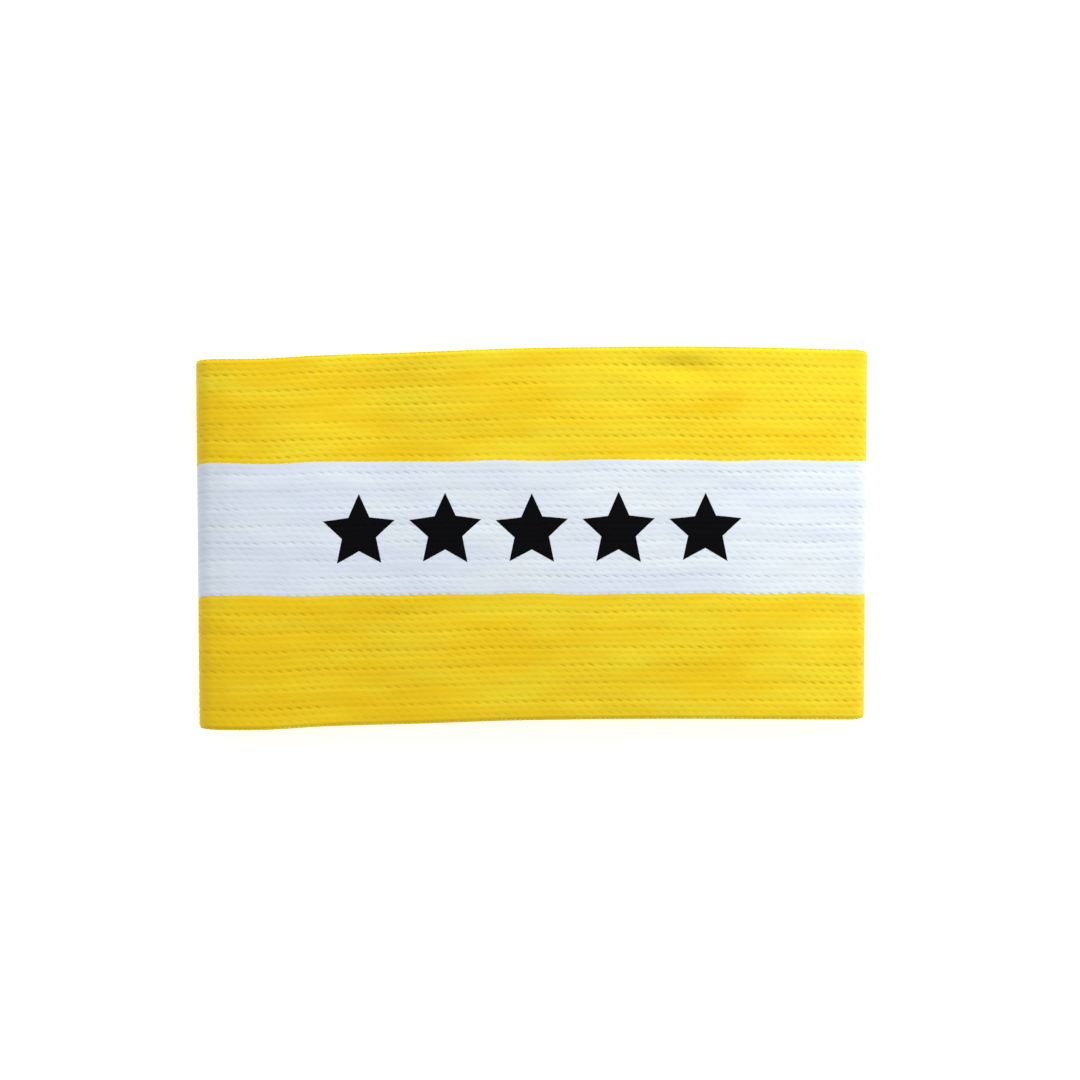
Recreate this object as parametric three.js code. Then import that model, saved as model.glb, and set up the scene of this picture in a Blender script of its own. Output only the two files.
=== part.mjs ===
// A captain's armband, laid flat on a table.
// One strip of woven elastic in three stripes is closed into a loop. Its two ends lap on the
// underside, where they are sewn, and the upper layer arches up from the lower one.
// A row of stars is printed in black along the middle stripe of the upper layer.
// Millimetres, +Z up. The loop's folds are at the two ends of X, and the arm goes in along Y.

import * as THREE from "three";

// The woven strip.
const BAND_WIDTH = 72; // from selvedge to selvedge
const WALL = 1.5; // thickness of the elastic, over its ribs
const LOWER_STRIPE = 24.3; // width of the yellow stripe below the white one
const MIDDLE_STRIPE = 25.9; // width of the white stripe
const RIB_PITCH = 3.43; // from one rib to the next; they run along the strip
const RIB_DEPTH = 0.25; // of the grooves between the ribs

// The loop, as it lies.
const FLAT_LENGTH = 131; // from fold to fold, halfway between the selvedges
const LEFT_FOLD_RADIUS = 2.7; // inside the left fold, which stands rounder
const RIGHT_FOLD_RADIUS = 1.5; // inside the right one
const INSIDE_HEIGHT = 9; // between the two layers at the crown
const CROSS_CROWN = 0.8; // by which the upper layer is lower at its selvedges
const FOLD_LEAN = 0.35; // by which each fold stands out further at the upper selvedge
const FOLD_PINCH = 0.25; // by which each selvedge draws in round a fold
const FOLD_PRESS = 2; // height up a fold over which its ribs are pressed flat by the table
const LEFT_SWING = 2.1; // by which the left end lies lower across than the middle
const WEAVE_DRIFT = 1.6; // by which the white stripe stays up over that swing

// The sewn lap on the underside.
const SEAM_OFFSET = 28.7; // its middle, to the right of the loop's middle
const LAP_LENGTH = 12; // by which the two ends overlap
const LAP_RAMP = 9; // over which the inner end rises onto the outer one
const CUT_SLANT = 0.3; // by which a cut end leans, pressed by its stitches

// The printed stars.
const STAR_COUNT = 5;
const STAR_MARGIN = 6.3; // of bare white above and below a star
const STAR_GAP = 2.8; // between one star's side tips and the next one's
const STAR_WAIST = 3.5; // radius to the corners between a star's tips
const PRINT_THICKNESS = 0.3;
const PRINT_GAP = 0.2; // clearance between the elastic and the print

// How finely the shapes are cut into facets.
const UPPER_STEP = 4; // length of a facet along the upper layer
const LOWER_STEP = 9; // and along the lower one
const FOLD_STEPS = 8; // facets round each fold
const RAMP_STEPS = 4; // facets up the ramp of the lap
const INSIDE_COLUMNS = 6; // facets across the smooth inner face
const STAR_CUTS = 3; // by which each side of a star's ten triangles is divided

const YELLOW = 0xf2cd35;
const BLACK = 0x15151a;

// The upper layer's sections, from the left fold to the right one: along is a share of half the
// flat length, and height a share of the crown's.
const UPPER_SECTIONS = [
  { along: -0.9, height: 0.73 },
  { along: -0.78, height: 0.775 },
  { along: -0.55, height: 0.82 },
  { along: -0.28, height: 0.9 },
  { along: 0.02, height: 0.985 },
  { along: 0.28, height: 1.0 },
  { along: 0.55, height: 0.925 },
  { along: 0.78, height: 0.735 },
];

// How far the strip swings sideways along its length: along is as above, and swing a share of
// the left end's swing.
const SIDE_SECTIONS = [
  { along: -1.0, swing: -1.0 },
  { along: -0.8, swing: -0.98 },
  { along: -0.62, swing: -0.66 },
  { along: -0.33, swing: -0.37 },
  { along: -0.02, swing: -0.05 },
  { along: 0.46, swing: 0.09 },
  { along: 1.0, swing: -0.1 },
];

// Dents in the upper layer: along is as above, across and wide are shares of the band's width,
// long is a share of the flat length, and depth a share of the wall.
const DENTS = [
  { along: 0.44, across: 0.94, long: 0.05, wide: 0.03, depth: 0.6 },
  { along: -0.44, across: 0.85, long: 0.1, wide: 0.3, depth: 1.1 },
];

// Low waves right across the upper layer: along and long are as above, and height is a share of
// the wall.
const WAVES = [
  { along: -0.3, long: 0.084, height: 0.3 },
  { along: 0.6, long: 0.084, height: 0.3 },
];

const halfLength = FLAT_LENGTH / 2;
const crownZ = WALL + INSIDE_HEIGHT + WALL / 2;
const upperStripe = BAND_WIDTH - LOWER_STRIPE - MIDDLE_STRIPE;
const columnCount = 2 * Math.max(3, Math.round(BAND_WIDTH / RIB_PITCH)); // two to a rib

// A fold, for side -1 at the left end and 1 at the right one, along the middle of its wall.
const foldOn = (side) => {
  const radius = (side < 0 ? LEFT_FOLD_RADIUS : RIGHT_FOLD_RADIUS) + WALL / 2;
  return { radius, x: halfLength - radius - WALL / 2, z: WALL / 2 + radius };
};

const smooth = (share) => {
  const t = THREE.MathUtils.clamp(share, 0, 1);
  return t * t * (3 - 2 * t);
};

// A smooth curve through points { x, y } in rising x, level beyond its two ends.
function curveThrough(points) {
  const last = points.length - 1;
  const slopes = points.map((_, i) => {
    const [a, b] = [points[Math.max(i - 1, 0)], points[Math.min(i + 1, last)]];
    return (b.y - a.y) / (b.x - a.x);
  });
  return (x) => {
    if (x <= points[0].x) return points[0].y;
    if (x >= points[last].x) return points[last].y;
    const i = points.findIndex((point) => point.x > x) - 1;
    const [a, b] = [points[i], points[i + 1]];
    const span = b.x - a.x;
    const t = (x - a.x) / span;
    const rise = t * t * (3 - 2 * t);
    const leave = t * (1 - t) * (1 - t);
    const arrive = t * t * (t - 1);
    return a.y + (b.y - a.y) * rise + span * (slopes[i] * leave + slopes[i + 1] * arrive);
  };
}

const sideSwing = curveThrough(
  SIDE_SECTIONS.map(({ along, swing }) => ({ x: along * halfLength, y: swing * LEFT_SWING })),
);

// Each fold stops short of half a circle, where it meets the slope up to the nearest section.
const upperPoints = UPPER_SECTIONS.map(({ along, height }) => ({
  x: along * halfLength,
  y: height * crownZ,
}));
const slopeAngle = (side, point) => {
  const fold = foldOn(side);
  return Math.atan2(point.y - fold.z - fold.radius, fold.x - Math.abs(point.x));
};
const leftSlope = slopeAngle(-1, upperPoints[0]);
const rightSlope = slopeAngle(1, upperPoints[upperPoints.length - 1]);
const foldEnd = (side, angle) => {
  const fold = foldOn(side);
  return {
    x: side * (fold.x + fold.radius * Math.sin(angle)),
    y: fold.z + fold.radius * Math.cos(angle),
  };
};
const leftEnd = foldEnd(-1, leftSlope);
const rightEnd = foldEnd(1, rightSlope);
const upperLine = curveThrough([leftEnd, ...upperPoints, rightEnd]);

// The depth of the upper layer below its line, at x along the loop and v up from the lower
// selvedge: it falls away towards both selvedges and into the dents, and rises over the waves.
function upperDrop(x, v) {
  const across = (2 * v) / BAND_WIDTH - 1;
  const along = THREE.MathUtils.clamp(x / foldOn(Math.sign(x)).x, -1, 1);
  const bow = CROSS_CROWN * across ** 2 * (1 - along ** 2);
  const dents = DENTS.map((dent) => {
    const dx = (x - dent.along * halfLength) / (dent.long * FLAT_LENGTH);
    const dv = (v - dent.across * BAND_WIDTH) / (dent.wide * BAND_WIDTH);
    return dent.depth * WALL * Math.exp(-(dx ** 2 + dv ** 2)) * (1 - along ** 4);
  });
  const waves = WAVES.map((wave) => {
    const dx = (x - wave.along * halfLength) / (wave.long * FLAT_LENGTH);
    return -wave.height * WALL * Math.exp(-(dx ** 2)) * (1 - along ** 4);
  });
  return [...dents, ...waves].reduce((sum, depth) => sum + depth, bow);
}

// Where the thread at v lies along X and Y. pinch is 1 at the outermost line of a fold, and
// upper is 1 on the upper layer and 0 on the lower one.
function lieAt(x, v, pinch, upper) {
  const half = BAND_WIDTH / 2;
  const fromMiddle = v / half - 1;
  const swing = sideSwing(x);
  const held = Math.min(v / LOWER_STRIPE, 1, (BAND_WIDTH - v) / upperStripe);
  const drift = -(swing / LEFT_SWING) * WEAVE_DRIFT * held * upper;
  return {
    x: x + FOLD_LEAN * (x / halfLength) * fromMiddle,
    y: fromMiddle * (half - pinch * FOLD_PINCH) + swing + drift,
  };
}

// One station of the wall: its outer and inner points in the XZ plane, half a wall to either
// side of the middle one. relief is the share of the ribs' depth that shows there.
function wallStation(x, z, normal, { relief = 0, pinch = 0, upper = 0 } = {}) {
  const side = (offset) => ({ x: x + normal.x * offset, z: z + normal.z * offset });
  return { outer: side(WALL / 2), inner: side(-WALL / 2), relief, pinch, upper };
}

// The direction square to a line whose slope at x is that of heightAt.
function squareTo(heightAt, x) {
  const reach = 0.05 * WALL;
  const slope = (heightAt(x + reach) - heightAt(x - reach)) / (2 * reach);
  const length = Math.hypot(slope, 1);
  return { x: -slope / length, z: 1 / length };
}

// Stations from one x to another, without the last.
function stationRun(from, to, count, stationAt) {
  return Array.from({ length: count }, (_, i) => stationAt(from + ((to - from) * i) / count));
}

const stepsFor = (length, step) => Math.max(1, Math.ceil(Math.abs(length) / step));

// The stations round the loop, from the lap to the right fold, back over the upper layer and
// round the left fold to the lap again.
function loopStations() {
  const outerEnd = SEAM_OFFSET - LAP_LENGTH / 2;
  const innerEnd = SEAM_OFFSET + LAP_LENGTH / 2;
  const lowerStation = (x) => wallStation(x, WALL / 2, { x: 0, z: -1 });
  const lapStation = (x, lean = 0) => ({
    outer: { x, z: 0 },
    inner: { x: x - lean, z: 2 * WALL },
    relief: 0,
    pinch: 0,
    upper: 0,
  });
  const innerCut = {
    ...lapStation(innerEnd),
    inner: { x: innerEnd + CUT_SLANT, z: WALL },
  };
  const upperStation = (x) =>
    wallStation(x, upperLine(x), squareTo(upperLine, x), { relief: 1, upper: 1 });
  const foldStation = (side) => (angle) => {
    const fold = foldOn(side);
    const normal = { x: side * Math.cos(angle), z: Math.sin(angle) };
    const height = (fold.radius * (1 + normal.z)) / FOLD_PRESS;
    return wallStation(
      side * fold.x + fold.radius * normal.x,
      fold.z + fold.radius * normal.z,
      normal,
      { relief: smooth(height), pinch: normal.x ** 2, upper: smooth((1 + normal.z) / 2) },
    );
  };

  const rampTop = outerEnd - CUT_SLANT;
  const rampFoot = rampTop - LAP_RAMP;
  const rampLine = (x) => WALL / 2 + WALL * smooth((x - rampFoot) / LAP_RAMP);
  const rampStation = (x) => {
    const up = squareTo(rampLine, x);
    return wallStation(x, rampLine(x), { x: -up.x, z: -up.z });
  };
  const rightFoldX = foldOn(1).x;
  const leftFoldX = -foldOn(-1).x;
  const lowerRightSteps = stepsFor(rightFoldX - innerEnd, LOWER_STEP);
  const upperSteps = stepsFor(rightEnd.x - leftEnd.x, UPPER_STEP);
  const lowerLeftSteps = stepsFor(rampFoot - leftFoldX, LOWER_STEP);

  return [
    lapStation(outerEnd, CUT_SLANT),
    lapStation((outerEnd + innerEnd) / 2),
    lapStation(innerEnd),
    innerCut,
    ...stationRun(innerEnd, rightFoldX, lowerRightSteps, lowerStation).slice(1),
    ...stationRun(-Math.PI / 2, Math.PI / 2 - rightSlope, FOLD_STEPS, foldStation(1)),
    ...stationRun(rightEnd.x, leftEnd.x, upperSteps, upperStation),
    ...stationRun(Math.PI / 2 - leftSlope, -Math.PI / 2, FOLD_STEPS, foldStation(-1)),
    ...stationRun(leftFoldX, rampFoot, lowerLeftSteps, lowerStation),
    ...stationRun(rampFoot, rampTop, RAMP_STEPS, rampStation),
    wallStation(rampTop, WALL / 2 + WALL, { x: 0, z: -1 }),
  ];
}

// A closed body under construction. Corners at one place are one vertex, and a facet that two
// such corners flatten to nothing is left out.
class Body {
  places = [];
  facets = [];
  known = new Map();

  corner(x, y, z) {
    const key = [x, y, z].map((value) => value.toFixed(4)).join();
    if (!this.known.has(key)) {
      this.known.set(key, this.places.length);
      this.places.push([x, y, z]);
    }
    return this.known.get(key);
  }

  facet(a, b, c) {
    if (a !== b && b !== c && c !== a) this.facets.push([a, b, c]);
  }

  quad(a, b, c, d) {
    this.facet(a, b, c);
    this.facet(a, c, d);
  }

  geometry() {
    const geometry = new THREE.BufferGeometry();
    geometry.setAttribute("position", new THREE.Float32BufferAttribute(this.places.flat(), 3));
    geometry.setIndex(this.facets.flat());
    geometry.computeVertexNormals();
    return geometry;
  }
}

// The strip: a ribbed outer face, a smooth inner face and two selvedges, round the whole loop.
function elasticBand() {
  const body = new Body();
  const stations = loopStations();
  const insideColumn = (k) => Math.round((k * columnCount) / INSIDE_COLUMNS);

  // The corner at v on a station's outer face, or at depth 1 on its inner one.
  const cornerAt = (station, v, depth) => {
    const x = THREE.MathUtils.lerp(station.outer.x, station.inner.x, depth);
    const z = THREE.MathUtils.lerp(station.outer.z, station.inner.z, depth);
    const drop = station.upper === 1 ? upperDrop(x, v) : 0;
    const place = lieAt(x, v, station.pinch, station.upper);
    return body.corner(place.x, place.y, z - drop);
  };
  const rows = stations.map((station) => {
    const row = { outer: [], inner: [] };
    for (let column = 0; column <= columnCount; column += 1) {
      const groove = column % 2 === 0 && column > 0 && column < columnCount;
      const depth = groove ? (station.relief * RIB_DEPTH) / WALL : 0;
      row.outer.push(cornerAt(station, (BAND_WIDTH * column) / columnCount, depth));
    }
    for (let k = 0; k <= INSIDE_COLUMNS; k += 1) {
      row.inner.push(cornerAt(station, (BAND_WIDTH * insideColumn(k)) / columnCount, 1));
    }
    return row;
  });

  rows.forEach((row, i) => {
    const next = rows[(i + 1) % rows.length];
    for (let c = 0; c < columnCount; c += 1) {
      body.quad(row.outer[c], row.outer[c + 1], next.outer[c + 1], next.outer[c]);
    }
    for (let k = 0; k < INSIDE_COLUMNS; k += 1) {
      body.quad(row.inner[k], next.inner[k], next.inner[k + 1], row.inner[k + 1]);
    }
    body.quad(row.outer[0], next.outer[0], next.inner[0], row.inner[0]);
    const [c, k] = [columnCount, INSIDE_COLUMNS];
    body.quad(row.outer[c], row.inner[k], next.inner[k], next.outer[c]);
  });
  return body.geometry();
}

// A star's height runs from its upper tip to the level of its two lower ones.
const starHeight = MIDDLE_STRIPE - 2 * STAR_MARGIN;
const starRadius = starHeight / (1 + Math.cos(Math.PI / 5));
const starSpacing = 2 * starRadius * Math.sin((2 * Math.PI) / 5) + STAR_GAP;

// A thin star that follows the upper layer, with its middle at x = middle along the loop.
function printedStar(middle) {
  const body = new Body();
  const middleV = LOWER_STRIPE + STAR_MARGIN + starHeight - starRadius;
  const outline = Array.from({ length: 10 }, (_, i) => {
    const angle = Math.PI / 2 + (i * Math.PI) / 5;
    const radius = i % 2 === 0 ? starRadius : STAR_WAIST;
    return { x: radius * Math.cos(angle), y: radius * Math.sin(angle) };
  });

  const cornerAt = (point, height) => {
    const x = middle + point.x;
    const v = middleV + point.y;
    const up = squareTo(upperLine, x);
    const place = lieAt(x + up.x * height, v, 0, 1);
    return body.corner(place.x, place.y, upperLine(x) - upperDrop(x, v) + up.z * height);
  };
  const under = WALL / 2 + PRINT_GAP;
  const over = under + PRINT_THICKNESS;

  outline.forEach((a, i) => {
    const b = outline[(i + 1) % outline.length];
    const at = (p, q, height) =>
      cornerAt({ x: (a.x * p + b.x * q) / STAR_CUTS, y: (a.y * p + b.y * q) / STAR_CUTS }, height);
    const bothFaces = (...corners) => {
      body.facet(...corners.map(([p, q]) => at(p, q, over)));
      body.facet(...corners.reverse().map(([p, q]) => at(p, q, under)));
    };
    for (let ring = 0; ring < STAR_CUTS; ring += 1) {
      for (let q = 0; q <= ring; q += 1) {
        const p = ring - q;
        bothFaces([p, q], [p + 1, q], [p, q + 1]);
        if (p > 0) bothFaces([p, q], [p, q + 1], [p - 1, q + 1]);
      }
    }
    for (let q = 0; q < STAR_CUTS; q += 1) {
      const p = STAR_CUTS - q;
      body.quad(at(p, q, over), at(p, q, under), at(p - 1, q + 1, under), at(p - 1, q + 1, over));
    }
  });
  return body.geometry();
}

const elastic = new THREE.MeshStandardMaterial({ color: YELLOW, roughness: 0.85, metalness: 0 });
const ink = new THREE.MeshStandardMaterial({ color: BLACK, roughness: 0.6, metalness: 0 });

const armband = new THREE.Group();
const band = new THREE.Mesh(elasticBand(), elastic);
band.name = "elastic_band";
armband.add(band);

const stars = new THREE.Group();
for (let i = 0; i < STAR_COUNT; i += 1) {
  const star = new THREE.Mesh(printedStar((i - (STAR_COUNT - 1) / 2) * starSpacing), ink);
  star.name = `printed_star_${i + 1}`;
  stars.add(star);
}
armband.add(stars);

// The origin is on the table, under the middle of the loop.
const extent = new THREE.Box3().setFromObject(band);
const middle = extent.getCenter(new THREE.Vector3());
armband.position.set(-middle.x, -middle.y, -extent.min.z);

export default armband;
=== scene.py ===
"""A captain's armband of striped woven elastic, lying flat, seen from straight above."""

import math

import bmesh
import bpy
import numpy as np
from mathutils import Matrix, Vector


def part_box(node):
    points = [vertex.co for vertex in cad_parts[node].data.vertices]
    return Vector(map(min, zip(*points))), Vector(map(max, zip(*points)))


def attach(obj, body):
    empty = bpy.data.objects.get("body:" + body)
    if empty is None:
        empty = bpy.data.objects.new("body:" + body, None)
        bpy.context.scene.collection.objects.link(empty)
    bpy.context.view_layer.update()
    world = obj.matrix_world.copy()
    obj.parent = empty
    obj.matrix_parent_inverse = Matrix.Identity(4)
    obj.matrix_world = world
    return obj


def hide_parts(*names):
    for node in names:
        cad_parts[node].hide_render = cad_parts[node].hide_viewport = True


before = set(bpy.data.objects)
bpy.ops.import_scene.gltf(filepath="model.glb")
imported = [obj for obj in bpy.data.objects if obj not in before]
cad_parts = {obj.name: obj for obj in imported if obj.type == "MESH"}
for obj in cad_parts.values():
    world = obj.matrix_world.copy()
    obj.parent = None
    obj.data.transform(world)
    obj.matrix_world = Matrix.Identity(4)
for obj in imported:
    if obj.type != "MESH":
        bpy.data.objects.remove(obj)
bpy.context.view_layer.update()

# The camera looks straight down through a long lens, as for a catalogue. It is set from the
# picture's two folds and two selvedges, in pixels, so that the band fills the same place.
PICTURE_SIDE = 1080
PICTURE_FOLDS = 196, 868
PICTURE_SELVEDGES = 348.5, 728.5
LENS, SENSOR = 135, 36
FOLD_HEIGHT = 0.003

band_low, band_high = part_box("elastic_band")
band_middle = (band_low + band_high) / 2
pixel = (band_high.x - band_low.x) / (PICTURE_FOLDS[1] - PICTURE_FOLDS[0])
camera = bpy.data.objects.new("camera", bpy.data.cameras.new("camera"))
camera.data.lens, camera.data.sensor_width = LENS, SENSOR
camera.location = (
    band_middle.x + pixel * (PICTURE_SIDE - sum(PICTURE_FOLDS)) / 2,
    band_middle.y - pixel * (PICTURE_SIDE - sum(PICTURE_SELVEDGES)) / 2,
    FOLD_HEIGHT + pixel * PICTURE_SIDE * LENS / SENSOR,
)
bpy.context.collection.objects.link(camera)
bpy.context.scene.camera = camera

# The band is one strip of woven elastic: rubber warps covered in polyester, held by a fine
# weft. Its three stripes are warps of two colours in the same cloth. It is cut to length and
# closed into a loop, which lies flat with a fold at each end and a lap beneath.
BAND_WIDTH = 0.072
WALL = 0.0015
STRIPE_WIDTHS = 0.0243, 0.0259, 0.0218
STRIPE_WARPS = 21, 23, 19
WARPS_IN_RIB = 3
LEFT_FOLD_RADIUS, RIGHT_FOLD_RADIUS = 0.0027, 0.0015
INSIDE_HEIGHT = 0.009
CROSS_CROWN = 0.0008
FOLD_LEAN, FOLD_PINCH = 0.00035, 0.00025
LEFT_SWING, WEAVE_DRIFT = 0.0021, 0.0016
SEAM_OFFSET, LAP_LENGTH, LAP_RAMP = 0.0287, 0.012, 0.009
CUT_SLANT, SEWN_GAP = 0.0003, 0.00004
SEAM_INSET, SEAM_WIDTH, SEAM_PRESS, SEAM_EASE = 0.003, 0.003, 0.0002, 0.0009
SELVEDGE_ROUND, SELVEDGE_THICKNESS, SELVEDGE_BULGE, SELVEDGE_BEVEL = 0.0009, 0.62, 0.00012, 0.55
WARP_GROOVE, RIB_GROOVE, STITCH_DIP, SLUB = 0.00005, 0.0001, 0.00005, 0.00012
WARP_STRAY, WHITE_RIBS = 0.00025, 0.6
STITCH_LENGTH, STITCH_SLANT = 0.00185, math.radians(20)
COLUMNS_IN_WARP = 3

# Shares of half the flat length and of the crown's height, for the middle of the upper layer.
UPPER_SECTIONS = (
    (-0.9, 0.73),
    (-0.78, 0.775),
    (-0.55, 0.82),
    (-0.28, 0.9),
    (0.02, 0.985),
    (0.28, 1.0),
    (0.55, 0.925),
    (0.78, 0.735),
)
# Shares of half the flat length and of the left end's swing.
SIDE_SECTIONS = (
    (-1.0, -1.0),
    (-0.8, -0.98),
    (-0.62, -0.66),
    (-0.33, -0.37),
    (-0.02, -0.05),
    (0.46, 0.09),
    (1.0, -0.1),
)
# Low waves right across the upper layer: place along, length and height, in a dent's shares.
WAVES = (
    (-0.3, 0.084, 0.3),
    (0.6, 0.084, 0.3),
)
# Lengths and slants of the strays, from side to side, of warps that run a little unevenly.
STRAYS = (
    (0.047, 1.3),
    (0.029, -2.1),
    (0.018, 3.7),
)
# Dents: place along as a share of half the flat length and across as one of the width, then
# length and width as shares of the band's own, and depth as one of the wall.
DENTS = (
    (0.44, 0.94, 0.05, 0.03, 0.6),
    (-0.44, 0.85, 0.1, 0.3, 1.1),
)

half_length = (band_high.x - band_low.x) / 2 - FOLD_LEAN
fold_radius = {-1: LEFT_FOLD_RADIUS + WALL / 2, 1: RIGHT_FOLD_RADIUS + WALL / 2}
fold_x = {side: half_length - radius - WALL / 2 for side, radius in fold_radius.items()}
crown = WALL + INSIDE_HEIGHT + WALL / 2


def smooth_step(share):
    t = np.clip(share, 0, 1)
    return t * t * (3 - 2 * t)


def curve_through(points):
    """A smooth curve through points in rising x, level beyond its two ends."""
    xs, ys = np.array(points).T
    last = len(xs) - 1
    before = np.maximum(np.arange(last + 1) - 1, 0)
    after = np.minimum(np.arange(last + 1) + 1, last)
    slopes = (ys[after] - ys[before]) / (xs[after] - xs[before])

    def height(x):
        x = np.clip(x, xs[0], xs[-1])
        i = np.clip(np.searchsorted(xs, x, side="right") - 1, 0, last - 1)
        span = xs[i + 1] - xs[i]
        t = (x - xs[i]) / span
        leave = span * slopes[i] * t * (1 - t) ** 2
        arrive = span * slopes[i + 1] * t * t * (t - 1)
        return ys[i] + (ys[i + 1] - ys[i]) * smooth_step(t) + leave + arrive

    return height


def fold_slope(side, point):
    """The slope at which a fold lets go of the upper layer, to reach a point on it."""
    top = WALL / 2 + 2 * fold_radius[side]
    return math.atan2(point[1] - top, fold_x[side] - abs(point[0]))


def fold_end(side, slope):
    """Where a fold meets the upper layer, which leaves it at that slope."""
    return (
        side * (fold_x[side] + fold_radius[side] * math.sin(slope)),
        WALL / 2 + fold_radius[side] * (1 + math.cos(slope)),
    )


upper_points = [(a * half_length, r * crown) for a, r in UPPER_SECTIONS]
left_slope, right_slope = fold_slope(-1, upper_points[0]), fold_slope(1, upper_points[-1])
left_end, right_end = fold_end(-1, left_slope), fold_end(1, right_slope)
upper_line = curve_through([left_end, *upper_points, right_end])
side_swing = curve_through([(a * half_length, s * LEFT_SWING) for a, s in SIDE_SECTIONS])


def upper_drop(x, v):
    """Depth of the upper layer below its line, from its bow across the band and its dents."""
    across = 2 * v / BAND_WIDTH - 1
    along = np.clip(x / np.where(x < 0, fold_x[-1], fold_x[1]), -1, 1)
    drop = CROSS_CROWN * across**2 * (1 - along**2)
    for dent_along, dent_across, dent_long, dent_wide, depth in DENTS:
        dx = (x - dent_along * half_length) / (dent_long * 2 * half_length)
        dv = (v - dent_across * BAND_WIDTH) / (dent_wide * BAND_WIDTH)
        drop = drop + depth * WALL * np.exp(-(dx**2) - dv**2) * (1 - along**4)
    for wave_along, wave_long, height in WAVES:
        dx = (x - wave_along * half_length) / (wave_long * 2 * half_length)
        drop = drop - height * WALL * np.exp(-(dx**2)) * (1 - along**4)
    return drop


def stray(x, v):
    """How far the warp at v lies out of line, which is nothing at the selvedges."""
    waves = sum(np.sin(math.tau * (x / long + slant * v / BAND_WIDTH)) for long, slant in STRAYS)
    return WARP_STRAY / len(STRAYS) * waves * (1 - (2 * v / BAND_WIDTH - 1) ** 2)


def laid(station, offset, v):
    """Places of points at an offset out of the wall's middle, at v across the strip."""
    x, z, out_x, out_z, pinch, upper = station
    x, z = x + out_x * offset, z + out_z * offset
    z = z - np.where(upper == 1, upper_drop(x, v), 0)
    half = BAND_WIDTH / 2
    from_middle = v / half - 1
    swing = side_swing(x)
    held = np.minimum(np.minimum(v / STRIPE_WIDTHS[0], 1), (BAND_WIDTH - v) / STRIPE_WIDTHS[2])
    drift = -swing / LEFT_SWING * WEAVE_DRIFT * held * upper
    y = from_middle * (half - pinch * FOLD_PINCH) + swing + drift + stray(x, v)
    return np.stack(
        np.broadcast_arrays(x + FOLD_LEAN * (x / half_length) * from_middle, y, z), axis=-1
    )


def square_to(line, x):
    """The direction up and square to a line above x, as two arrays."""
    reach = 0.05 * WALL
    slope = (line(x + reach) - line(x - reach)) / (2 * reach)
    length = np.hypot(slope, 1)
    return -slope / length, 1 / length


def stitched_run(start, stop, steps_in_stitch):
    """Places from start up to stop, without stop, in whole stitches of that many steps."""
    stitches = max(1, round(abs(stop - start) / STITCH_LENGTH))
    return np.linspace(start, stop, stitches * steps_in_stitch, endpoint=False)


def level_run(x, z):
    """Stations of the lower layer: x, z, outward x and z, share of pinch, and of upper layer."""
    flat = np.zeros_like(x)
    return np.stack([x, flat + z, flat, flat - 1, flat, flat])


def fold_run(side, start, stop):
    """Stations round a fold, from one angle above level to another."""
    radius = fold_radius[side]
    arc = radius * abs(stop - start)
    angles = start + (stop - start) * stitched_run(0, arc, 4) / arc
    nx, nz = side * np.cos(angles), np.sin(angles)
    x, z = side * fold_x[side] + radius * nx, WALL / 2 + radius * (1 + nz)
    return np.stack([x, z, nx, nz, nx**2, smooth_step((1 + nz) / 2)])


def line_run(line, x, side, upper):
    """Stations along a line above x, with the outer face up for side 1 and down for -1."""
    nx, nz = square_to(line, x)
    return np.stack([x, line(x), side * nx, side * nz, 0 * x, 0 * x + upper])


lap_start, lap_end = SEAM_OFFSET - LAP_LENGTH / 2, SEAM_OFFSET + LAP_LENGTH / 2
ramp_top = lap_start - CUT_SLANT
ramp_foot = ramp_top - LAP_RAMP
lap_rise = WALL + SEWN_GAP


def ramp_line(x):
    """The wall's middle where the strip climbs onto its own other end."""
    return WALL / 2 + lap_rise * smooth_step((x - ramp_foot) / LAP_RAMP)


quarter = math.pi / 2
upper_x = stitched_run(right_end[0], left_end[0], 4)
lapped_x = np.append(stitched_run(ramp_top, lap_end, 2), lap_end)
runs = (
    (2, level_run(stitched_run(lap_start, fold_x[1], 2), WALL / 2)),
    (4, fold_run(1, -quarter, quarter - right_slope)),
    (4, line_run(upper_line, upper_x, 1, 1)),
    (4, fold_run(-1, quarter - left_slope, -quarter)),
    (2, level_run(stitched_run(-fold_x[-1], ramp_foot, 2), WALL / 2)),
    (2, line_run(ramp_line, stitched_run(ramp_foot, ramp_top, 2), -1, 0)),
    (2, level_run(lapped_x, WALL / 2 + lap_rise)),
)
stations = np.concatenate([run for _, run in runs], axis=1)
steps = np.concatenate([np.full(run.shape[1], 1 / in_stitch) for in_stitch, run in runs])
stitches_along = np.concatenate([[0], np.cumsum(steps[:-1])])

# Columns across the strip: three to each warp, and each stripe its own count of warps.
stripe_edges = np.concatenate([[0], np.cumsum(STRIPE_WIDTHS)])
warp_edges = np.concatenate([[0], np.cumsum(STRIPE_WARPS)])
warp_count = int(warp_edges[-1])
outer_warp = np.arange(warp_count * COLUMNS_IN_WARP + 1) / COLUMNS_IN_WARP
inner_warp = np.arange(warp_count, -1, -WARPS_IN_RIB)


def across_strip(warp):
    """The place across the strip, from its lower selvedge, for a count of warps."""
    return np.interp(warp, warp_edges, stripe_edges)


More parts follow.
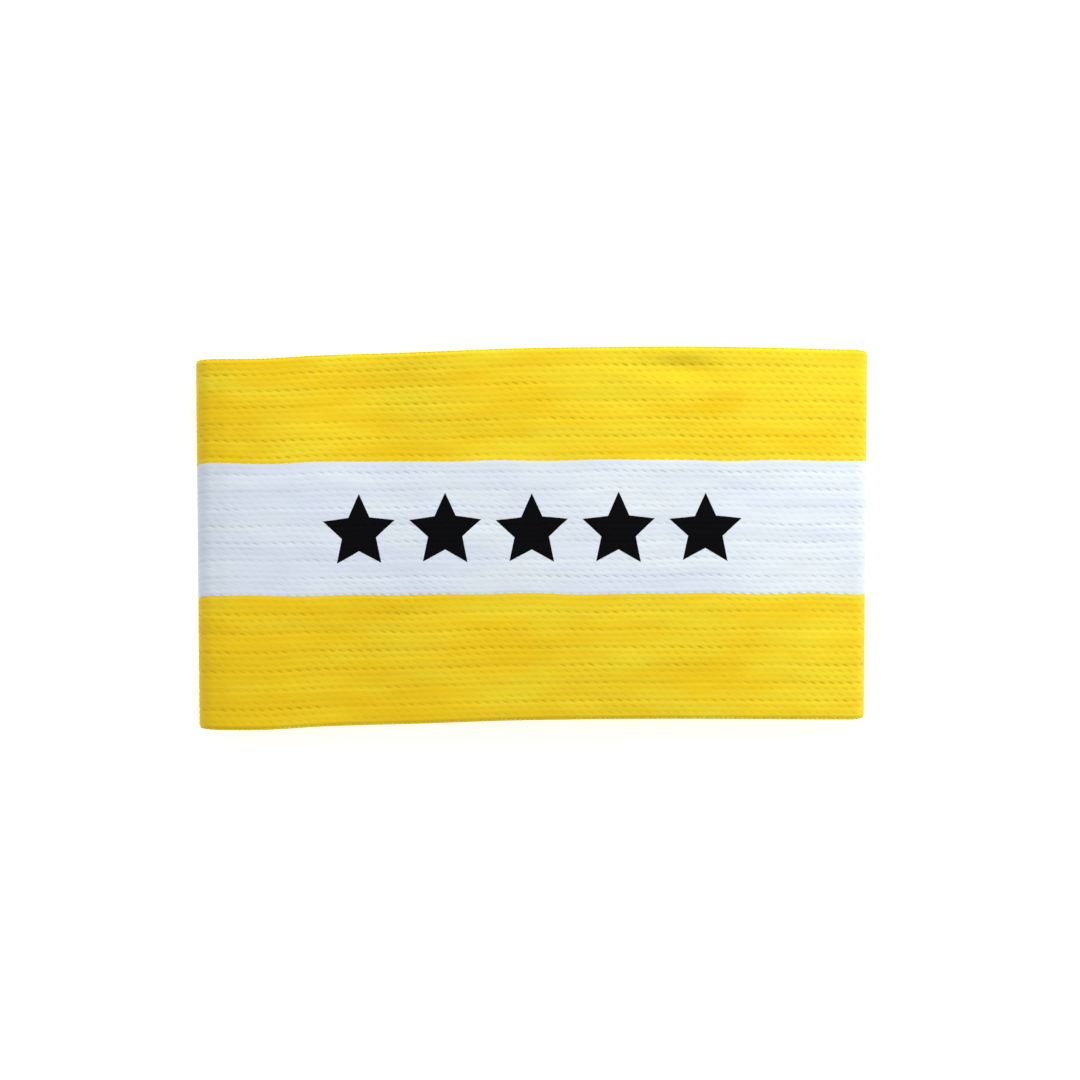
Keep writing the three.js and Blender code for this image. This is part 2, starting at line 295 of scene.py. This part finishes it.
edge_levels = np.array([SELVEDGE_BEVEL, -SELVEDGE_BEVEL])
ring_warp = np.concatenate([outer_warp, 0 * edge_levels + warp_count, inner_warp, 0 * edge_levels])
ring_level = np.concatenate([0 * outer_warp + 1, edge_levels, 0 * inner_warp - 1, -edge_levels])
ring_v = across_strip(ring_warp)
ring_size = len(ring_warp)
to_edge = np.clip(np.minimum(ring_v, BAND_WIDTH - ring_v) / SELVEDGE_ROUND, 0, 1)
thickness = SELVEDGE_THICKNESS + (1 - SELVEDGE_THICKNESS) * np.sqrt(1 - (1 - to_edge) ** 2)
on_face = np.abs(ring_level) == 1
ring_bulge = ~on_face * SELVEDGE_BULGE * np.where(ring_v > BAND_WIDTH / 2, 1, -1)

# The two rows of the seam press a furrow into both faces of the lap.
seam_middles = lap_start + SEAM_INSET, lap_end - SEAM_INSET
from_seam = np.min([abs(stations[0] - middle) for middle in seam_middles], axis=0)
furrow = SEAM_PRESS * (1 - smooth_step((from_seam - SEAM_WIDTH / 2) / SEAM_EASE))
sewn_face = np.zeros((stations.shape[1], ring_size))
sewn_face[: runs[0][1].shape[1]] = ring_level == 1
sewn_face[-runs[-1][1].shape[1] :] = ring_level == -1

offsets = ring_level * (WALL / 2 * thickness - sewn_face * furrow[:, None])
places = laid(stations[:, :, None], offsets, ring_v)
places[:, :, 1] += ring_bulge
middle_y = (places[:, :, 1].max() + places[:, :, 1].min()) / 2
to_middle = (0, band_middle.y - middle_y, 0)
places += to_middle

corner = np.arange(stations.shape[1] * ring_size).reshape(-1, ring_size)
around = np.roll(corner, -1, axis=1)
quads = np.stack([corner[:-1], around[:-1], around[1:], corner[1:]], axis=2)


def cut_end(ring, turned):
    """The faces that close a cut end, from one selvedge to the other."""
    outer, ring = ring[: len(outer_warp)], ring[len(outer_warp) :]
    right_edge, inner, left_edge = ring[:2], ring[2:-2][::-1], ring[-2:]
    fan = COLUMNS_IN_WARP * WARPS_IN_RIB
    made = [(outer[-1], *right_edge, inner[-1]), (inner[0], *left_edge, outer[0])]
    for k in range(len(inner) - 1):
        made.append((*outer[fan * k : fan * k + fan + 1], inner[k + 1], inner[k]))
    return [tuple(int(v) for v in (face[::-1] if turned else face)) for face in made]


caps = cut_end(corner[0], True) + cut_end(corner[-1], False)
band_mesh = bpy.data.meshes.new("elastic_strip")
band_mesh.from_pydata(places.reshape(-1, 3), [], quads.reshape(-1, 4).tolist() + caps)
band_mesh.shade_smooth()
for polygon in band_mesh.polygons[-len(caps) :]:
    polygon.use_smooth = False


def note(mesh, name, values):
    """Keeps a vector for each point of a mesh, for Geometry Nodes and materials to read."""
    attribute = mesh.attributes.new(name, "FLOAT_VECTOR", "POINT")
    attribute.data.foreach_set("vector", np.asarray(values, np.float32).ravel())


def per_point(*parts):
    """One vector for each point, from values or columns of them."""
    return np.stack(np.broadcast_arrays(*parts), axis=-1)


note(band_mesh, "weave", per_point(stitches_along[:, None], ring_warp, ring_level))
inward_x, inward_z = (-stations[i][:, None] * ring_level * on_face for i in (2, 3))
note(band_mesh, "inward", per_point(inward_x, 0, inward_z))

# The map for the finish: the strip laid out flat, outer face and then inner, cut ends on top.
MAP_MARGIN, MAP_ACROSS = 0.01, 0.94
END_MAP_START, END_MAP_LENGTH, END_MAP_STEP, END_MAP_HEIGHT = 0.02, 0.45, 0.5, 0.98

map_along = MAP_MARGIN + (1 - 2 * MAP_MARGIN) * stitches_along / stitches_along[-1]
ring_places = np.stack([ring_v, ring_level * WALL / 2], axis=1)
ring_steps = np.linalg.norm(np.roll(ring_places, -1, axis=0) - ring_places, axis=1)
ring_way = np.concatenate([[0], np.cumsum(ring_steps)])
map_across = MAP_MARGIN + MAP_ACROSS * ring_way / ring_steps.sum()
u0, u1 = map_along[:-1, None], map_along[1:, None]
v0, v1 = map_across[:-1], map_across[1:]
strip_map = np.stack([per_point(u, v) for u, v in ((u0, v0), (u0, v1), (u1, v1), (u1, v0))], axis=2)
cap_points = np.concatenate(caps)
cap_across = ring_v[cap_points % ring_size] / BAND_WIDTH
cap_map = per_point(
    END_MAP_START + END_MAP_LENGTH * cap_across + END_MAP_STEP * (cap_points >= ring_size),
    END_MAP_HEIGHT + MAP_MARGIN * ring_level[cap_points % ring_size],
)
bake_map = band_mesh.uv_layers.new(name="OFBake")
whole_map = np.concatenate([strip_map.reshape(-1, 2), cap_map]).astype(np.float32)
bake_map.uv.foreach_set("vector", whole_map.ravel())


class Number:
    """A number at every point of a surface; arithmetic on it adds Math nodes."""

    def __init__(self, nodes, socket):
        self.nodes, self.socket = nodes, socket

    def maths(self, operation, *others):
        sockets = dict(enumerate((self, *others)))
        return self.nodes.number("ShaderNodeMath", {"operation": operation}, sockets)

    def __add__(self, other):
        return self.maths("ADD", other)

    def __sub__(self, other):
        return self.maths("SUBTRACT", other)

    def __mul__(self, other):
        return self.maths("MULTIPLY", other)

    def __truediv__(self, other):
        return self.maths("DIVIDE", other)

    def __rsub__(self, other):
        return self * -1 + other

    __radd__, __rmul__ = __add__, __mul__


class Nodes:
    """A tree of nodes under construction, for a material or for a shape."""

    def __init__(self, tree):
        self.tree = tree
        self.tree.nodes.clear()

    def add(self, kind, settings=None, sockets=None):
        """A node with its settings, and then its sockets' values or links."""
        node = self.tree.nodes.new(kind)
        for name, value in (settings or {}).items():
            setattr(node, name, value)
        for name, value in (sockets or {}).items():
            if isinstance(value, Number):
                value = value.socket
            if isinstance(value, bpy.types.NodeSocket):
                self.tree.links.new(value, node.inputs[name])
            else:
                node.inputs[name].default_value = value
        return node

    def number(self, *node):
        return Number(self, self.add(*node).outputs[0])

    def numbers(self, vector):
        parts = self.add("ShaderNodeSeparateXYZ", None, {0: vector}).outputs
        return [Number(self, part) for part in parts]

    def joined(self, *parts):
        return self.add("ShaderNodeCombineXYZ", None, dict(enumerate(parts))).outputs[0]

    def noise(self, detail, grain, along, warp, depth):
        """Noise with a grain of so many waves to a stitch and to a warp."""
        place = self.joined(along * grain[0], warp * grain[1], depth)
        sockets = {"Vector": place, "Scale": 1, "Detail": detail}
        return self.number("ShaderNodeTexNoise", None, sockets)

    def eased(self, value, start, stop):
        """0 at start and 1 at stop, with a soft rise between them."""
        return self.number(
            "ShaderNodeMapRange",
            {"interpolation_type": "SMOOTHSTEP"},
            {"Value": value, "From Min": start, "From Max": stop},
        )


# Gaps between stitches: their sizes, the share left of those inside a rib and of closed ones,
# and how they open in patches, along lines and by chance.
GAP_HALF_LONG, GAP_HALF_WIDE, GAP_FLOOR = 0.00078, 0.00026, 0.1
FAINT_GAP, CLOSED_GAP = 0.5, 0.1
OPEN_PATCHES, OPEN_PATCH_EDGES, OPEN_LINES = (0.13, 0.22), (0.32, 0.68), (0.05, 3.1)
OPEN_BY_PATCH, OPEN_BY_LINE, OPEN_BY_CHANCE = 0.6, 0.6, 0.5
PATCH_SEED, LINE_SEED, CHANCE_SEED = 3.7, 8.3, 0.5


def stitch_gaps(along, warp):
    """The short slanting gaps between stitches, 1 where one is open and deepest."""
    row = (warp + 0.5).maths("FLOOR")
    stitch = along + row * 0.5
    x = (stitch.maths("FRACT") - 0.5) * (STITCH_LENGTH / GAP_HALF_LONG)
    y = (warp - row) * (BAND_WIDTH / warp_count / GAP_HALF_WIDE)
    thin = GAP_HALF_LONG / GAP_HALF_WIDE
    lengthwise = x * math.cos(STITCH_SLANT) + y * (math.sin(STITCH_SLANT) / thin)
    crosswise = y * math.cos(STITCH_SLANT) - x * (math.sin(STITCH_SLANT) * thin)
    gap = along.nodes.eased(lengthwise * lengthwise + crosswise * crosswise, 1, GAP_FLOOR)
    at_rib = (row / WARPS_IN_RIB).maths("FRACT").maths("LESS_THAN", 0.5 / WARPS_IN_RIB)
    own_place = {"Vector": along.nodes.joined(stitch.maths("FLOOR"), row, CHANCE_SEED)}
    own = along.nodes.number("ShaderNodeTexWhiteNoise", None, own_place)
    patch = along.nodes.noise(1, OPEN_PATCHES, along, row, PATCH_SEED)
    patch = along.nodes.eased(patch, *OPEN_PATCH_EDGES)
    line = along.nodes.noise(1, OPEN_LINES, along, row, LINE_SEED)
    open_share = patch * OPEN_BY_PATCH + line * OPEN_BY_LINE + (own - 0.5) * OPEN_BY_CHANCE
    opened = CLOSED_GAP + open_share * (1 - CLOSED_GAP)
    return gap * (at_rib * (1 - FAINT_GAP) + FAINT_GAP) * opened


def white_share(warp):
    """1 on the warps of the white stripe, and 0 on the yellow ones."""
    past_first, past_second = (warp.maths("GREATER_THAN", float(e)) for e in warp_edges[1:3])
    return past_first - past_second


def shape_nodes(name, sizes):
    """A Geometry Nodes tree that takes a shape, a material and named sizes."""
    tree = bpy.data.node_groups.new(name, "GeometryNodeTree")
    nodes = Nodes(tree)
    tree.interface.new_socket("Geometry", in_out="OUTPUT", socket_type="NodeSocketGeometry")
    tree.interface.new_socket("Geometry", in_out="INPUT", socket_type="NodeSocketGeometry")
    tree.interface.new_socket("Material", in_out="INPUT", socket_type="NodeSocketMaterial")
    for size in sizes:
        tree.interface.new_socket(size, in_out="INPUT", socket_type="NodeSocketFloat")
    return nodes, nodes.add("NodeGroupInput").outputs


def close_shape(nodes, inputs, geometry):
    """Ends a tree with its copies made real and in their material."""
    real = nodes.add("GeometryNodeRealizeInstances", None, {0: geometry})
    sockets = {"Geometry": real.outputs[0], "Material": inputs["Material"]}
    dressed = nodes.add("GeometryNodeSetMaterial", None, sockets)
    nodes.add("NodeGroupOutput", None, {0: dressed.outputs[0]})


def shaped(thing, nodes, values):
    """Runs a tree on an object with values for its inputs, and keeps its plain mesh."""
    modifier = thing.modifiers.new("shape", "NODES")
    modifier.node_group = nodes.tree
    for item in nodes.tree.interface.items_tree:
        if item.in_out == "INPUT" and item.name in values:
            modifier[item.identifier] = values[item.name]
    evaluated = thing.evaluated_get(bpy.context.evaluated_depsgraph_get())
    mesh = bpy.data.meshes.new_from_object(evaluated)
    thing.modifiers.clear()
    thing.data = mesh


# The weave's relief: a round back to each warp, a deeper groove to each rib, a dip at each gap,
# and the yarn's own thick and thin places.
RIB_SHARPNESS, SLUB_GRAIN = 6, (0.22, 0.4)
weave_sizes = {
    "Warp Groove": WARP_GROOVE,
    "Rib Groove": RIB_GROOVE,
    "Stitch Dip": STITCH_DIP,
    "Slub": SLUB,
    "White Ribs": WHITE_RIBS,
}
relief, relief_in = shape_nodes("woven_relief", weave_sizes)
named = {"data_type": "FLOAT_VECTOR"}
weave = relief.add("GeometryNodeInputNamedAttribute", named, {"Name": "weave"})
inward = relief.add("GeometryNodeInputNamedAttribute", named, {"Name": "inward"})
along, warp, level = relief.numbers(weave.outputs[0])
in_warp = warp.maths("FRACT") * 2 - 1
in_rib = (warp / WARPS_IN_RIB).maths("FRACT") * 2 - 1
warp_groove, rib_groove, stitch_dip, slub, white_ribs = (
    Number(relief, relief_in[size]) for size in weave_sizes
)
between_warps = (1 - (1 - in_warp * in_warp).maths("SQRT")) * warp_groove
rib_edge = in_rib.maths("ABSOLUTE").maths("POWER", RIB_SHARPNESS)
between_ribs = rib_edge * (rib_groove - warp_groove)
groove = (
    (between_warps + between_ribs) * (1 - white_share(warp) * (1 - white_ribs))
    + stitch_gaps(along, warp) * stitch_dip
    + relief.noise(1, SLUB_GRAIN, along, warp, level) * slub
)
sockets = {0: inward.outputs[0], "Scale": groove}
moved = relief.add("ShaderNodeVectorMath", {"operation": "SCALE"}, sockets)
sockets = {"Geometry": relief_in["Geometry"], "Offset": moved.outputs[0]}
close_shape(relief, relief_in, relief.add("GeometryNodeSetPosition", None, sockets).outputs[0])

# The cloth's colours, and the darker ones in the gaps where light is lost between the yarns.
LEMON, GOLDEN, YELLOW_GAP = (0.86, 0.66, 0.02, 1), (0.86, 0.57, 0.005, 1), (0.74, 0.47, 0.005, 1)
CLEAR_WHITE, BLUISH_WHITE = (0.74, 0.795, 0.82, 1), (0.685, 0.74, 0.825, 1)
WHITE_GAP = (0.63, 0.69, 0.75, 1)
# Two of these pale the cloth towards the upper selvedge and the right: painted light from the lamp.
COLOUR_CREEP, UPPER_PAINTED_LIGHT, RIGHT_PAINTED_LIGHT, PATCH_EDGES = 0.15, 0.1, 0.13, (0.3, 0.7)
TONE, STREAK_SHADE, BLOTCH_SHADE, FIBRE_SHADE = 1.17, 0.18, 0.08, 0.08
PATCH_GRAIN, STREAK_GRAIN = (0.09, 0.2), (0.07, 0.4)
BLOTCH_GRAIN, FIBRE_GRAIN = (0.3, 0.35), (1.2, 4)
PATCH_LAYERS, BLOTCH_LAYERS = 4, 7
CLOTH_BUMP, FIBRE_BUMP = 0.00005, 0.35


class Finish(Nodes):
    """A material under construction."""

    def __init__(self, name):
        self.material = bpy.data.materials.new(name)
        self.material.use_nodes = True
        super().__init__(self.material.node_tree)

    def weave(self):
        """The place in the cloth: stitches along, warps across and level in the wall."""
        place = self.add("ShaderNodeAttribute", {"attribute_name": "weave"})
        return self.numbers(place.outputs["Vector"])

    def mix(self, share, low, high):
        mixed = self.add("ShaderNodeMix", {"data_type": "RGBA"}, {0: share, 6: low, 7: high})
        return mixed.outputs[2]

    def scaled(self, vector, factor):
        sockets = {0: vector, "Scale": factor}
        return self.add("ShaderNodeVectorMath", {"operation": "SCALE"}, sockets).outputs[0]

    def close(self, **sockets):
        spaced = {name.replace("_", " "): value for name, value in sockets.items()}
        shader = self.add("ShaderNodeBsdfPrincipled", None, spaced)
        self.add("ShaderNodeOutputMaterial", None, {0: shader.outputs[0]})
        return self.material


elastic = Finish("striped_elastic")
along, warp, level = elastic.weave()
gaps = stitch_gaps(along, warp)
creep = warp + (along.maths("FRACT") - 0.5) * COLOUR_CREEP
# Both colours vary in lighter and deeper areas at random; the paling towards the upper selvedge and
# the right is painted light.
deeper = elastic.noise(2, PATCH_GRAIN, along, warp, level * PATCH_LAYERS)
place_x = elastic.numbers(elastic.add("ShaderNodeTexCoord").outputs["Object"])[0]
painted_light = (warp / warp_count - 0.5) * UPPER_PAINTED_LIGHT + place_x * (RIGHT_PAINTED_LIGHT / half_length)
patches_and_painted_light = elastic.eased(deeper - painted_light, *PATCH_EDGES)
yellow = elastic.mix(gaps, elastic.mix(patches_and_painted_light, LEMON, GOLDEN), YELLOW_GAP)
white = elastic.mix(gaps, elastic.mix(patches_and_painted_light, CLEAR_WHITE, BLUISH_WHITE), WHITE_GAP)
colour = elastic.mix(white_share(creep), yellow, white)
streaks = elastic.noise(2, STREAK_GRAIN, along, warp, level)
blotches = elastic.noise(2, BLOTCH_GRAIN, along, warp, level * BLOTCH_LAYERS)
slanted = warp - along * (math.tan(STITCH_SLANT) * STITCH_LENGTH / BAND_WIDTH * warp_count)
fibres = elastic.noise(2, FIBRE_GRAIN, along, slanted, level)
tone = TONE - streaks * STREAK_SHADE - blotches * BLOTCH_SHADE - fibres * FIBRE_SHADE
bump_sockets = {"Strength": 1.0, "Distance": CLOTH_BUMP, "Height": fibres * FIBRE_BUMP - gaps}
elastic.close(
    Base_Color=elastic.scaled(colour, tone),
    Roughness=0.85,
    Specular_IOR_Level=0.2,
    Sheen_Weight=0.08,
    Normal=elastic.add("ShaderNodeBump", None, bump_sockets).outputs[0],
)

band = bpy.data.objects.new("elastic_strip", band_mesh)
bpy.context.collection.objects.link(band)
shaped(band, relief, {"Material": elastic.material, **weave_sizes})
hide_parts("elastic_band")
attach(band, "root")

# The weft is one yarn that turns back round each selvedge after every crossing. Each turn is a
# short arch of yarn round the edge, which gives the selvedge its fine scallops.
TURN_YARN, TURN_LENGTH, TURN_DIP, TURN_SUNK = 0.00082, 0.0006, 0.00012, 0.00033
TURNS_IN_STITCH, TURN_IN_WARP = 2, 0.25
ARCH_STEPS, YARN_SIDES = 6, 8

arches, arches_in = shape_nodes("laid_stitches", ("Length", "Dip", "Yarn"))
length, dip, yarn = (Number(arches, arches_in[size]) for size in ("Length", "Dip", "Yarn"))
sockets = {
    "Resolution": ARCH_STEPS,
    "Start": arches.joined(length * -0.5, 0, dip * -1),
    "Middle": arches.joined(0, 0, dip),
    "End": arches.joined(length * 0.5, 0, dip * -1),
}
arch = arches.add("GeometryNodeCurveQuadraticBezier", None, sockets)
sockets = {0: YARN_SIDES, "Radius": yarn * 0.5}
profile = arches.add("GeometryNodeCurvePrimitiveCircle", None, sockets)
sockets = {"Curve": arch.outputs[0], "Profile Curve": profile.outputs[0], "Fill Caps": True}
tube = arches.add("GeometryNodeCurveToMesh", None, sockets)
faced = arches.add("GeometryNodeInputNamedAttribute", named, {"Name": "faced"})
run = arches.add("GeometryNodeInputNamedAttribute", named, {"Name": "run"})
sockets = {"Primary Axis": faced.outputs[0], "Secondary Axis": run.outputs[0]}
turned = arches.add(
    "FunctionNodeAxesToRotation", {"primary_axis": "Z", "secondary_axis": "X"}, sockets
)
sockets = {
    "Points": arches_in["Geometry"],
    "Instance": tube.outputs[0],
    "Rotation": turned.outputs[0],
}
close_shape(arches, arches_in, arches.add("GeometryNodeInstanceOnPoints", None, sockets).outputs[0])


def laid_yarn(name, places, notes, values):
    """One object of short arches of yarn, at places with notes of how each one lies."""
    mesh = bpy.data.meshes.new(name)
    mesh.from_pydata(places, [], [])
    for title, vectors in notes.items():
        note(mesh, title, vectors)
    thing = bpy.data.objects.new(name, mesh)
    bpy.context.collection.objects.link(thing)
    shaped(thing, arches, values)
    thing.data.shade_smooth()
    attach(thing, "root")


# A turn lies at every crossing of the weft, but for the two at the cut ends.
crossings = stitches_along * TURNS_IN_STITCH
picks = np.flatnonzero(np.isclose(crossings, np.round(crossings), atol=1e-4))[1:-1]
turns, turn_notes = [], {"faced": [], "run": [], "weave": []}
for outward, edge, edge_warp in ((-1, 0.0, 0), (1, BAND_WIDTH, warp_count)):
    at_edge = stations[:, picks]
    out = outward * (SELVEDGE_BULGE - TURN_SUNK)
    turns.append(laid(at_edge, 0, np.full(len(picks), edge)) + to_middle + (0, out, 0))
    turn_notes["faced"].append(np.tile((0, outward, 0), (len(picks), 1)))
    turn_notes["run"].append(per_point(at_edge[2], 0, at_edge[3]))
    turn_notes["weave"].append(per_point(stitches_along[picks], edge_warp + TURN_IN_WARP, 1))
laid_yarn(
    "weft_turns",
    np.concatenate(turns),
    {title: np.concatenate(vectors) for title, vectors in turn_notes.items()},
    {"Material": elastic.material, "Length": TURN_LENGTH, "Dip": TURN_DIP, "Yarn": TURN_YARN},
)

# The seam is sewn with white polyester thread, in two rows of zigzag through both ends of the
# strip. Its stitches show on the underside and inside the loop, sunk a little into the cloth.
SEAM_THREAD, SEAM_PITCH, SEAM_DIP, SEAM_MARGIN = 0.00026, 0.0012, 0.0002, 0.0012
THREAD_IN_SHADE, THREAD_WHITE, PLIES_IN_METRE = (0.74, 0.75, 0.74, 1), (0.84, 0.85, 0.84, 1), 4000

thread = Finish("sewing_thread")
place = thread.add("ShaderNodeTexCoord").outputs["Object"]
plies = thread.number("ShaderNodeTexNoise", None, {"Vector": place, "Scale": PLIES_IN_METRE})
thread.close(
    Base_Color=thread.mix(plies, THREAD_IN_SHADE, THREAD_WHITE),
    Roughness=0.55,
    Specular_IOR_Level=0.35,
)

zigs = int((BAND_WIDTH - 2 * SEAM_MARGIN) / SEAM_PITCH)
zig_v = BAND_WIDTH / 2 + SEAM_PITCH * (np.arange(zigs) - (zigs - 1) / 2)
zig_way = np.where(np.arange(zigs) % 2, -1, 1)
zig_length = math.hypot(SEAM_WIDTH, SEAM_PITCH)
zig_places, zig_notes = [], {"faced": [], "run": []}
for face, rise in ((1, 0), (-1, lap_rise)):
    for middle in seam_middles:
        station = level_run(np.full(zigs, middle), WALL / 2 + rise)
        offset = face * (WALL / 2 - SEAM_THREAD / 2)
        zig_places.append(laid(station, offset, zig_v) + to_middle)
        zig_notes["faced"].append(np.tile((0, 0, -face), (zigs, 1)))
        zig_notes["run"].append(per_point(SEAM_WIDTH * zig_way, np.full(zigs, SEAM_PITCH), 0))
laid_yarn(
    "seam_stitches",
    np.concatenate(zig_places),
    {title: np.concatenate(vectors) for title, vectors in zig_notes.items()},
    {"Material": thread.material, "Length": zig_length, "Dip": SEAM_DIP, "Yarn": SEAM_THREAD},
)

# The stars are black print pressed into the upper face of the white stripe. Each is a thin film
# that follows the ribs, cut here along the cloth's own columns and stitches.
STAR_MARGIN, STAR_GAP, STAR_WAIST, STAR_TIPS = 0.0063, 0.0028, 0.0035, 5
PRINT_LIFT, PRINT_SUNK, PRINT_BUMP = 0.00003, 0.0001, 0.00004
# The ink is darker in the stitch gaps: painted shade, where light is lost between the yarns.
INK, INK_SHADE_IN_GAPS = (0.002, 0.002, 0.0025, 1), (0.001, 0.001, 0.0014, 1)

ink = Finish("black_print")
along, warp, level = ink.weave()
gaps = stitch_gaps(along, warp)
bump_sockets = {"Strength": 1.0, "Distance": PRINT_BUMP, "Height": gaps * -1}
ink.close(
    Base_Color=ink.mix(gaps, INK, INK_SHADE_IN_GAPS),
    Roughness=0.7,
    Specular_IOR_Level=0.05,
    Normal=ink.add("ShaderNodeBump", None, bump_sockets).outputs[0],
)

star_nodes = sorted(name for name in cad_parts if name.startswith("printed_star"))
star_height = STRIPE_WIDTHS[1] - 2 * STAR_MARGIN
star_radius = star_height / (1 + math.cos(math.pi / STAR_TIPS))
star_spacing = 2 * star_radius * math.sin(2 * math.pi / STAR_TIPS) + STAR_GAP
star_corners = 2 * STAR_TIPS
star_middle = STRIPE_WIDTHS[0] + STAR_MARGIN + star_height - star_radius
fold_stations = sum(run.shape[1] for _, run in runs[:2])
upper_stitches = stitches_along[fold_stations : fold_stations + len(upper_x)]

for i, node in enumerate(star_nodes):
    star_x = (i - (len(star_nodes) - 1) / 2) * star_spacing
    film = bmesh.new()
    points = [film.verts.new((star_x, star_middle, 0))]
    for k in range(star_corners):
        angle = math.pi / 2 + k * math.pi / STAR_TIPS
        radius = STAR_WAIST if k % 2 else star_radius
        point = star_x + radius * math.cos(angle), star_middle + radius * math.sin(angle), 0
        points.append(film.verts.new(point))
    for k in range(star_corners):
        film.faces.new((points[0], points[1 + k], points[1 + (k + 1) % star_corners]))
    cuts = [((0, v, 0), (0, 1, 0)) for v in across_strip(outer_warp)]
    cuts += [((x, 0, 0), (1, 0, 0)) for x in upper_x if abs(x - star_x) < star_radius]
    for place, square in cuts:
        parts = film.verts[:] + film.edges[:] + film.faces[:]
        bmesh.ops.bisect_plane(film, geom=parts, dist=1e-7, plane_co=place, plane_no=square)
    film.verts.index_update()
    flat = np.array([vertex.co for vertex in film.verts])
    film_faces = [[vertex.index for vertex in face.verts] for face in film.faces]
    rim = [
        (loop.vert.index, loop.link_loop_next.vert.index)
        for face in film.faces
        for loop in face.loops
        if loop.edge.is_boundary
    ]
    film.free()

    x, v = flat[:, 0], flat[:, 1]
    station = line_run(upper_line, x, 1, 1)
    layers = [laid(station, WALL / 2 + lift, v) for lift in (PRINT_LIFT, -PRINT_SUNK)]
    star_mesh = bpy.data.meshes.new(f"star_print_{i + 1}")
    star_mesh.from_pydata(
        np.concatenate(layers) + to_middle,
        [],
        film_faces
        + [[a + len(x) for a in face[::-1]] for face in film_faces]
        + [(b, a, a + len(x), b + len(x)) for a, b in rim],
    )
    star_mesh.shade_smooth()
    stitches = np.interp(-x, -upper_x, upper_stitches)
    warps = np.interp(v, stripe_edges, warp_edges)
    note(star_mesh, "weave", np.tile(per_point(stitches, warps, 1), (2, 1)))
    note(star_mesh, "inward", np.tile(per_point(-station[2], 0, -station[3]), (2, 1)))
    star = bpy.data.objects.new(f"star_print_{i + 1}", star_mesh)
    bpy.context.collection.objects.link(star)
    shaped(star, relief, {"Material": ink.material, **weave_sizes})
    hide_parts(node)
    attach(star, "root")

# The table and the light: a white table that glows a little, as for a catalogue, under pale
# daylight from all sides, with one large soft lamp up to the right.
TABLE_HALF, TABLE_BELOW = 1.5, 0.00005
TABLE_WHITE, TABLE_GLOW = (0.85, 0.85, 0.86, 1), 0.6
DAYLIGHT, DAYLIGHT_STRENGTH = (0.96, 0.98, 1.02, 1), 0.6
LAMP_DISTANCE, LAMP_ROUND, LAMP_DOWN = 0.6, math.radians(62), math.radians(56)
LAMP_SIZE, LAMP_WATTS, LAMP_COLOUR = 0.35, 3.05, (0.98, 0.98, 0.99)

table_corners = ((-1, -1), (1, -1), (1, 1), (-1, 1))
table_mesh = bpy.data.meshes.new("table")
table_mesh.from_pydata(
    [(x * TABLE_HALF, y * TABLE_HALF, -TABLE_BELOW) for x, y in table_corners], [], [(0, 1, 2, 3)]
)
table = bpy.data.objects.new("table", table_mesh)
bpy.context.collection.objects.link(table)
paper = Finish("white_table")
table_mesh.materials.append(
    paper.close(
        Base_Color=TABLE_WHITE,
        Roughness=0.9,
        Specular_IOR_Level=0.1,
        Emission_Color=(1, 1, 1, 1),
        Emission_Strength=TABLE_GLOW,
    )
)

world = bpy.data.worlds.new("daylight")
world.use_nodes = True
sky = world.node_tree.nodes["Background"].inputs
sky["Color"].default_value, sky["Strength"].default_value = DAYLIGHT, DAYLIGHT_STRENGTH
bpy.context.scene.world = world

lamp = bpy.data.objects.new("soft_lamp", bpy.data.lights.new("soft_lamp", "AREA"))
lamp.data.shape, lamp.data.size = "DISK", LAMP_SIZE
lamp.data.energy, lamp.data.color = LAMP_WATTS, LAMP_COLOUR
lamp.location = LAMP_DISTANCE * Vector(
    (
        math.cos(LAMP_ROUND) * math.sin(LAMP_DOWN),
        math.sin(LAMP_ROUND) * math.sin(LAMP_DOWN),
        math.cos(LAMP_DOWN),
    )
)
lamp.rotation_euler = lamp.location.to_track_quat("Z", "Y").to_euler()
bpy.context.collection.objects.link(lamp)
bpy.context.scene.view_settings.view_transform = "Standard"
